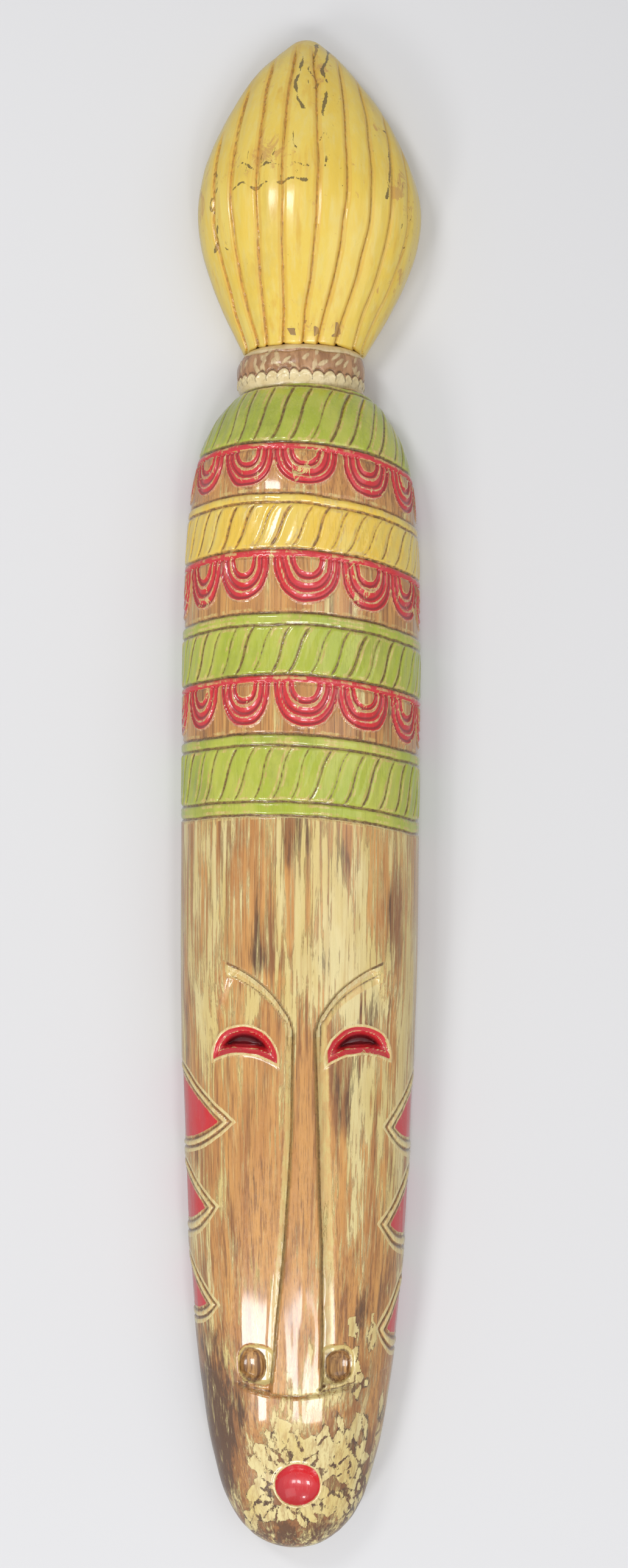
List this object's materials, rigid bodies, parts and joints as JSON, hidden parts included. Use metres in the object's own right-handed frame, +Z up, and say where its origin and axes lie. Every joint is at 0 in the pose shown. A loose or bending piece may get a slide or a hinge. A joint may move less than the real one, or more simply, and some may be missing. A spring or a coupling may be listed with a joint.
{
  "type": "carved wooden wall mask",
  "caption": "Long half-round carved wooden face mask with a banded headdress, collar and pointed topknot, hollowed behind and hung by a folding ring.",
  "frame": {"origin": "on the flat back, in the plane of the wall, at the height where a nail bears on the raised hanger ring", "axes": "+Z up to the topknot's tip, the carved face looks along -Y, +Y into the wall, +X to the onlooker's right"},
  "size_m": [0.1582, 0.0803, 1],
  "materials": {
    "painted_face_wood": "worn paint over brown wood, varnished",
    "painted_collar_wood": "worn cream paint over brown wood, varnished",
    "yellow_topknot_wood": "yellow paint, varnished",
    "dowel_wood": "bare turned wood",
    "zinc_steel": "zinc plated"
  },
  "bodies": {
    "mask": {"mask_body": "painted_face_wood", "collar": "painted_collar_wood", "topknot": "yellow_topknot_wood", "neck_dowels": "dowel_wood", "hanger_strap": "zinc_steel", "hanger_screws": "zinc_steel"},
    "ring": {"hanger_ring": "zinc_steel"}
  },
  "joints": [
    {"name": "ring_hinge", "type": "hinge", "parent": "mask", "child": "ring", "pos_m": [0, -0.00847, -0.0199], "axis": [-1, 0, 0], "range_deg": [0, 160]}
  ]
}
